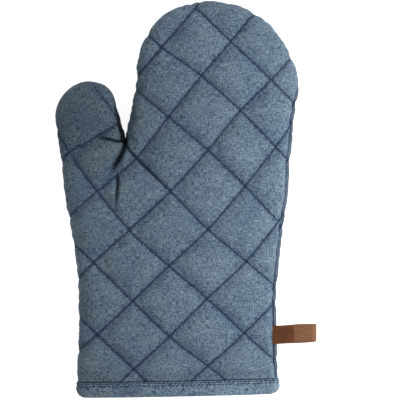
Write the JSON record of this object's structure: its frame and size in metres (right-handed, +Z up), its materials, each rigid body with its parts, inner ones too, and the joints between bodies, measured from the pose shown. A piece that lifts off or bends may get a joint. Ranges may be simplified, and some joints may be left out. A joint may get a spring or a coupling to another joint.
{
  "type": "oven mitt",
  "caption": "Quilted cotton oven mitt lying flat, palm up, with a thumb, an open bound cuff and a leather hanging loop at the side seam.",
  "frame": {"origin": "centre of the footprint, on the surface that the mitt lies on", "axes": "+X across the hand, away from the thumb and towards the hanging loop; +Y from the cuff to the fingertips; +Z up, out of the palm"},
  "size_m": [0.1966, 0.3004, 0.03],
  "materials": {
    "outer_cotton": "matte",
    "binding_cotton": "matte",
    "wadding": "matte",
    "lining_cotton": "matte",
    "quilting_thread": "satin",
    "seam_thread": "satin",
    "cuff_thread": "satin",
    "leather": "satin"
  },
  "bodies": {
    "hand": {"palm_shell_hand": "outer_cotton", "palm_wadding_hand": "wadding", "palm_lining_hand": "lining_cotton", "palm_quilting_hand": "quilting_thread", "back_shell_hand": "outer_cotton", "back_wadding_hand": "wadding", "back_lining_hand": "lining_cotton", "back_quilting_hand": "quilting_thread", "side_seam_hand": "seam_thread", "cuff_binding": "binding_cotton", "cuff_stitch_upper": "cuff_thread", "cuff_stitch_lower": "cuff_thread", "loop_tab": "leather"},
    "fingers": {"palm_shell_fingers": "outer_cotton", "palm_wadding_fingers": "wadding", "palm_lining_fingers": "lining_cotton", "palm_quilting_fingers": "quilting_thread", "back_shell_fingers": "outer_cotton", "back_wadding_fingers": "wadding", "back_lining_fingers": "lining_cotton", "back_quilting_fingers": "quilting_thread", "side_seam_fingers": "seam_thread"},
    "thumb": {"palm_shell_thumb": "outer_cotton", "palm_wadding_thumb": "wadding", "palm_lining_thumb": "lining_cotton", "palm_quilting_thumb": "quilting_thread", "back_shell_thumb": "outer_cotton", "back_wadding_thumb": "wadding", "back_lining_thumb": "lining_cotton", "back_quilting_thumb": "quilting_thread", "side_seam_thumb": "seam_thread"},
    "loop": {"hanging_loop": "leather"}
  },
  "joints": [
    {"name": "finger_fold", "type": "hinge", "parent": "hand", "child": "fingers", "pos_m": [0.02, 0.058, 0.022], "axis": [1, 0, 0], "range_deg": [0, 60], "stiffness_Nm_per_rad": 0.03},
    {"name": "thumb_fold", "type": "hinge", "parent": "hand", "child": "thumb", "pos_m": [-0.0464, 0.0444, 0.022], "axis": [0.9205, 0.3907, 0], "range_deg": [0, 50], "stiffness_Nm_per_rad": 0.012},
    {"name": "loop_swing", "type": "hinge", "parent": "hand", "child": "loop", "pos_m": [0.0708, -0.1015, 0.015], "axis": [0, -1, 0], "range_deg": [-20, 75], "stiffness_Nm_per_rad": 0.006}
  ]
}
